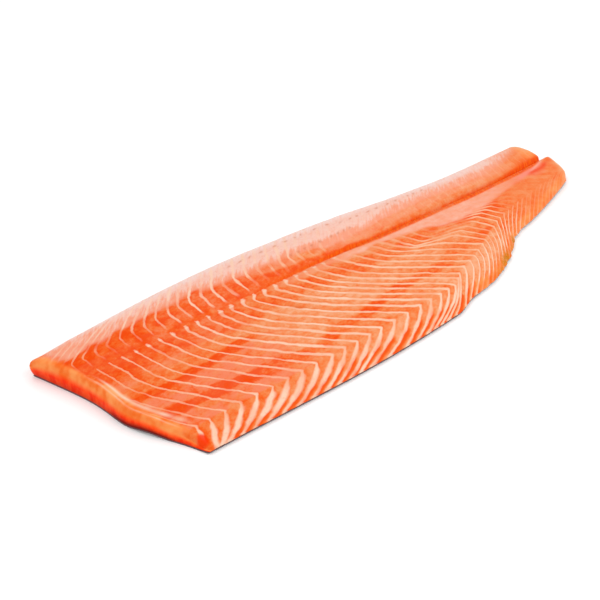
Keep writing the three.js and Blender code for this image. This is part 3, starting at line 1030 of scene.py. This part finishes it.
class Shader:
    """A material's nodes, made one by one."""

    def __init__(self, name):
        self.material = bpy.data.materials.new(name)
        self.material.use_nodes = True
        self.tree = self.material.node_tree
        self.principled = self.tree.nodes["Principled BSDF"]

    def put(self, socket, value):
        if isinstance(value, bpy.types.NodeSocket):
            self.tree.links.new(value, socket)
        else:
            socket.default_value = value

    def surface(self, settings):
        for name, value in settings.items():
            self.put(self.principled.inputs[name], value)

    def node(self, kind, inputs, **properties):
        """The outputs of a new node, with its named inputs and properties set."""
        made = self.tree.nodes.new("ShaderNode" + kind)
        for name, value in properties.items():
            setattr(made, name, value)
        for name, value in inputs.items():
            self.put(made.inputs[name], value)
        return made.outputs

    def attribute(self, name):
        return self.node("Attribute", {}, attribute_name=name)["Fac"]

    def place(self, size, turn):
        """Places on the piece in grains of the given size in mm, turned about the upright."""
        inputs = {
            "Vector": self.node("TexCoord", {})["Object"],
            "Rotation": (0, 0, math.radians(turn)),
            "Scale": [length * MM for length in size],
        }
        return self.node("Mapping", inputs, vector_type="TEXTURE")["Vector"]

    def noise(self, size, detail, turn=0):
        inputs = {"Scale": 1, "Detail": detail, "Roughness": 0.55, "Vector": self.place(size, turn)}
        return self.node("TexNoise", inputs)["Fac"]

    def cells(self, size):
        return self.node("TexVoronoi", {"Scale": 1, "Vector": self.place(size, 0)})["Distance"]

    def math(self, operation, *values):
        node = self.tree.nodes.new("ShaderNodeMath")
        node.operation = operation
        for socket, value in zip(node.inputs, values):
            self.put(socket, value)
        return node.outputs["Value"]

    def times(self, first, second):
        return self.math("MULTIPLY", first, second)

    def ramp(self, value, low, high, start=0, end=1):
        """Goes smoothly from start to end as the value goes from low to high."""
        inputs = {"Value": value, "From Min": low, "From Max": high, "To Min": start, "To Max": end}
        return self.node("MapRange", inputs, interpolation_type="SMOOTHSTEP")["Result"]

    def mix(self, factor, first, second):
        node = self.tree.nodes.new("ShaderNodeMix")
        node.data_type = "RGBA"
        self.put(node.inputs["Factor"], factor)
        colours = [socket for socket in node.inputs if socket.type == "RGBA"]
        self.put(colours[0], first)
        self.put(colours[1], second)
        return [socket for socket in node.outputs if socket.type == "RGBA"][0]

    def paint(self, body, zone, share, tone=None):
        """Lays the zone's tone over the colour, as far as its attribute and the share say."""
        if tone is None:
            tone = TONES[zone]
        return self.mix(self.times(self.attribute(zone), share), body, tone)

    def tones(self, value, stops):
        """A colour that follows the value through a row of (position, colour) stops."""
        node = self.tree.nodes.new("ShaderNodeValToRGB")
        row = node.color_ramp.elements
        while len(row) < len(stops):
            row.new(1)
        for element, (position, shade) in zip(row, stops):
            element.position = position
            element.color = shade
        self.put(node.inputs["Fac"], value)
        return node.outputs["Color"]

    def bump(self, height, distance, strength):
        inputs = {"Distance": distance * MM, "Strength": strength, "Height": height}
        self.surface({"Normal": self.node("Bump", inputs)["Normal"]})


def flesh_depth(s, phase, mottle, grain):
    """Depth of orange: deeper beside each line as painted shade, and in a wedge behind it in the
    belt.
    """
    past_line = s.math("FRACT", phase)
    half = s.attribute("line_half")
    # Painted shade on the tail side of each line.
    beside = s.ramp(past_line, s.times(half, 0.8), s.times(half, 3.6), 1, 0)
    beside = s.times(s.times(beside, s.attribute("line_show")), 0.2)
    fine = s.ramp(grain, 0.25, 0.75, -0.1, 0.1)
    uneven = s.math("ADD", s.ramp(mottle, 0.25, 0.75, -0.2, 0.2), fine)
    uneven = s.times(uneven, s.ramp(s.attribute("calm"), 0, 1, 1, 0.45))
    depth = s.math("ADD", s.math("ADD", s.attribute("depth"), uneven), beside)
    wedge = s.math("SUBTRACT", s.attribute("belt"), s.times(past_line, 0.32))
    wedge = s.times(s.ramp(wedge, 0.36, 0.5), s.ramp(past_line, 0.35, 0.85, 1, 0))
    return s.math("ADD", depth, s.times(wedge, s.math("SUBTRACT", 0.9, depth)))


def tissue_and_sheen_tone(s, streaks, grain):
    """The loin's tissue and its painted sheen, streaked and paler up the side, with a few redder
    grains.
    """
    paleness = s.math("ADD", s.attribute("pale"), s.ramp(streaks, 0.3, 0.7, -0.35, 0.35))
    tissue_and_sheen = s.mix(s.ramp(paleness, 0, 1), *TISSUE_AND_SHEEN_TONES)
    return s.mix(s.ramp(grain, 0.5, 0.75, 0, 0.4), tissue_and_sheen, TONES["vessels"])


def line_cover(s, phase, grain):
    """How far the pale lines cover the flesh."""
    to_line = s.math("PINGPONG", phase, 0.5)
    half = s.attribute("line_half")
    line = s.ramp(to_line, s.times(half, 0.4), s.times(half, 1.5), 1, 0)
    return s.times(s.times(line, s.attribute("line_show")), s.ramp(grain, 0.2, 0.5, 0.75, 1))


def flesh_top(s, cloud, mottle, grain):
    """Colour of the uncut surface: orange tones under tissue, pale lines, dashes and painted light.
    """
    waver = s.times(s.math("SUBTRACT", s.noise(*LINE_WAVER), 0.5), 0.2)
    phase = s.math("ADD", s.attribute("line_phase"), waver)
    depth = flesh_depth(s, phase, mottle, grain)
    body = s.tones(depth, FLESH_TONES)
    rosy = s.times(s.ramp(cloud, 0.3, 0.6), s.ramp(depth, 0.45, 0.85, 0.9, 0.2))
    body = s.paint(body, "rosy", rosy)
    # Painted shade: brownish dabs on the tail side of the lines.
    body = s.paint(body, "shade", s.ramp(mottle, 0.3, 0.6, 0.3, 0.6))
    body = s.paint(body, "gold", s.ramp(cloud, 0.3, 0.6, 0.7, 1), gold_tone(s, cloud))
    strip = s.mix(s.ramp(mottle, 0.3, 0.7), *STRIP_TONES)
    body = s.paint(body, "strip", s.ramp(cloud, 0.3, 0.7, 0.8, 1), strip)
    # Sheen and gleam over the loin are painted reflection and highlight on its pale tissue.
    streaks = s.noise(*SHEEN_STREAKS)
    tissue_and_sheen = tissue_and_sheen_tone(s, streaks, grain)
    body = s.paint(body, "sheen", s.ramp(mottle, 0.2, 0.6, 0.75, 1), tissue_and_sheen)
    body = s.paint(body, "gleam", s.ramp(streaks, 0.36, 0.6, 0.4, 1))
    body = s.paint(body, "pink", 0.85)
    body = s.paint(body, "red", 0.9)
    body = s.paint(body, "end_pale", s.ramp(grain, 0.3, 0.7, 0.6, 0.9))
    # The groove's deep orange is partly painted shade of the crease.
    groove = s.mix(s.ramp(s.noise(*GROOVE_STREAKS), 0.35, 0.65), *GROOVE_TONES)
    body = s.paint(body, "groove", 0.95, groove)
    line = s.mix(s.attribute("line_white"), *LINE_TONES)
    body = s.mix(line_cover(s, phase, grain), body, line)
    body = s.paint(body, "dash", 0.7)
    body = s.paint(body, "olive", s.ramp(grain, 0.35, 0.6, 0.35, 1))
    return s.paint(body, "pale_marks_and_highlight", 0.85)


def gold_tone(s, cloud):
    return s.mix(s.ramp(cloud, 0.3, 0.7), *GOLD_TONES)


def cut_face(s, cut, cloud):
    """Colour of the cut ends: gold at the rim, then red-orange, and darkest at the foot in painted
    shade.
    """
    tone = s.mix(s.ramp(s.noise(*CUT_FIBRES), 0.3, 0.7), *CUT_TONES)
    # Painted shade darkens the cut face towards its foot, most over the middle of the head cut.
    dark = s.times(s.ramp(cut, 0.4, 0.95), s.ramp(s.attribute("foot_shade"), 0, 1, 0.3, 0.95))
    tone = s.mix(dark, tone, TONES["cut_foot_shade"])
    return s.mix(s.ramp(cut, 0, 0.54, 1, 0), tone, gold_tone(s, cloud))


def flesh_material():
    """Moist orange flesh, uncut above and cut at its two ends."""
    s = Shader("raw_flesh")
    cloud = s.noise(*CLOUD)
    mottle = s.noise(*MOTTLE)
    grain = s.noise(*GRAIN)
    cut = s.attribute("cut")
    top = flesh_top(s, cloud, mottle, grain)
    body = s.mix(s.ramp(cut, 0, 0.16), top, cut_face(s, cut, cloud))
    body = s.paint(body, "spot", 0.9)
    s.surface({"Base Color": body, "Roughness": s.ramp(mottle, 0.3, 0.7, 0.3, 0.46)})
    s.surface(FLESH_SURFACE)
    s.bump(s.math("ADD", s.noise(*FLESH_UNEVENNESS), s.times(grain, 0.5)), 0.22, 0.3)
    return s.material


def skin_material():
    """Trout skin: dark and spotted along the back, silver below, with small scales."""
    s = Shader("trout_skin")
    wander = s.times(s.math("SUBTRACT", s.noise(*SKIN_CLOUD), 0.5), 0.12)
    height = s.math("ADD", s.attribute("girth"), wander)
    body = s.mix(s.ramp(height, 0.1, 0.5), *SILVER_TONES)
    body = s.mix(s.ramp(height, 0.48, 0.64), body, SIDE_TONE)
    body = s.mix(s.ramp(height, 0.64, 0.92), body, BACK_TONE)
    spots = s.ramp(s.cells(SKIN_SPOT_CELLS), 0.2, 0.32, 1, 0)
    body = s.mix(s.times(spots, s.ramp(height, 0.5, 0.8)), body, SPOT_TONE)
    scales = s.cells(SCALE_CELLS)
    body = s.mix(s.ramp(scales, 0.3, 0.75, 0, 0.22), body, SCALE_EDGE_TONE)
    body = s.mix(s.attribute("rim"), body, RIM_TONE)
    s.surface({"Base Color": body, "Roughness": s.ramp(scales, 0.1, 0.7, 0.24, 0.42)})
    s.surface({"Specular IOR Level": 0.6})
    s.bump(scales, 0.3, 0.5)
    return s.material


def floor_material():
    s = Shader("pale_floor")
    s.surface({"Base Color": s.mix(s.noise(*FLOOR_GRAIN), *FLOOR_TONES)})
    s.surface({"Roughness": 0.9, "Specular IOR Level": 0.1})
    return s.material


# ---- The two pieces ----

def make_flesh():
    grid = Grid(*FLESH_GRID)
    place = Place(grid)
    zones = zones_of(place)
    foot = grid.underside() + SKIN_THICKNESS + SKIN_TO_FLESH_GAP
    inward = np.minimum.reduce([
        grid.from_head, grid.from_tail,
        grid.y - belly_edge(grid.x), curve(BACK_EDGE, grid.x) - grid.y,
    ])
    relief = relief_of(place, zones) * rise(inward, 0, 3)
    top = foot + np.maximum(THINNEST_FLESH, grid.thickness() + relief)
    lean = curve(HEAD_CUT_LEAN, grid.across) * np.maximum(0, 1 - grid.from_head / HEAD_LEAN_LENGTH)
    near = np.stack([grid.x + lean, grid.y, top], -1)
    far = np.stack([grid.x, grid.y, foot], -1)

    def wall_shape(rim, share):
        """The cut faces and the edges swell a little and are finely uneven."""
        height = rim[:, 2] * (1 - share)
        along = rim[:, 0] + rim[:, 1]
        uneven = 0.22 * lumps(along, height, (5, 3), seed=41)
        uneven = uneven + 0.12 * lumps(along, height, (1.8, 4), seed=42)
        return math.sin(math.pi * share) * (WALL_SWELL + uneven)

    piece, source, depth = shell_mesh("trout_flesh", near, far, FLESH_WALL_LAYERS, wall_shape, True)
    for name, values in zones.items():
        add_attribute(piece, name, values, source)
    at_cut = np.isin(grid.along, (0, 1)).reshape(-1)[source]
    add_attribute(piece, "cut", depth * at_cut, np.arange(len(source)))
    piece.data.materials.append(flesh_material())
    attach(piece, "root")
    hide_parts("flesh")


def make_skin():
    grid = Grid(*SKIN_GRID)
    low = grid.underside()
    under = np.stack([grid.x, grid.y, low], -1)
    upper = np.stack([grid.x, grid.y, low + SKIN_THICKNESS], -1)

    def wall_shape(rim, share):
        uneven = 0.12 * lumps(rim[:, 0] + rim[:, 1], rim[:, 2] + share, (4, 2), seed=51)
        return math.sin(math.pi * share) * (SKIN_WALL_SWELL + uneven)

    piece, source, _ = shell_mesh("trout_skin", under, upper, SKIN_WALL_LAYERS, wall_shape, False)
    add_attribute(piece, "girth", grid.across, source)
    inward = np.minimum.reduce([grid.from_head, grid.from_tail, grid.y - belly_edge(grid.x)])
    rim = fall(inward, 0, 1) * fall(grid.x, *DARK_RIM_END)
    add_attribute(piece, "rim", rim, source)
    piece.data.materials.append(skin_material())
    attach(piece, "root")
    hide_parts("skin")


# ---- Camera, light and floor ----

def make_camera():
    azimuth = math.radians(CAMERA_AZIMUTH)
    elevation = math.radians(CAMERA_ELEVATION)
    back = Vector((
        math.sin(azimuth) * math.cos(elevation),
        -math.cos(azimuth) * math.cos(elevation),
        math.sin(elevation),
    ))
    camera = new_object("camera", bpy.data.cameras.new("camera"))
    camera.data.lens = CAMERA_LENS
    camera.location = (Vector(CAMERA_TARGET) + back * CAMERA_DISTANCE) * MM
    camera.rotation_euler = back.to_track_quat("Z", "Y").to_euler()
    bpy.context.scene.camera = camera


def make_light(name, place, size, power):
    light = new_object(name, bpy.data.lights.new(name, "AREA"))
    light.data.size = size * MM
    light.data.energy = power
    light.location = Vector(place) * MM
    light.rotation_euler = Vector(place).to_track_quat("Z", "Y").to_euler()


def make_stage():
    half = FLOOR_SIZE * MM / 2
    mesh = bpy.data.meshes.new("floor")
    corners = [(-half, -half, 0), (half, -half, 0), (half, half, 0), (-half, half, 0)]
    mesh.from_pydata(corners, [], [(0, 1, 2, 3)])
    mesh.materials.append(floor_material())
    floor = new_object("floor", mesh)
    world = bpy.data.worlds.new("soft_white")
    world.use_nodes = True
    background = world.node_tree.nodes["Background"]
    background.inputs["Color"].default_value = (1, 1, 1, 1)
    background.inputs["Strength"].default_value = 1.0
    bpy.context.scene.world = world
    make_light("key", *KEY_LIGHT)
    make_light("fill", *FILL_LIGHT)
    bpy.context.scene.view_settings.view_transform = "Standard"


make_camera()
make_stage()
make_flesh()
make_skin()
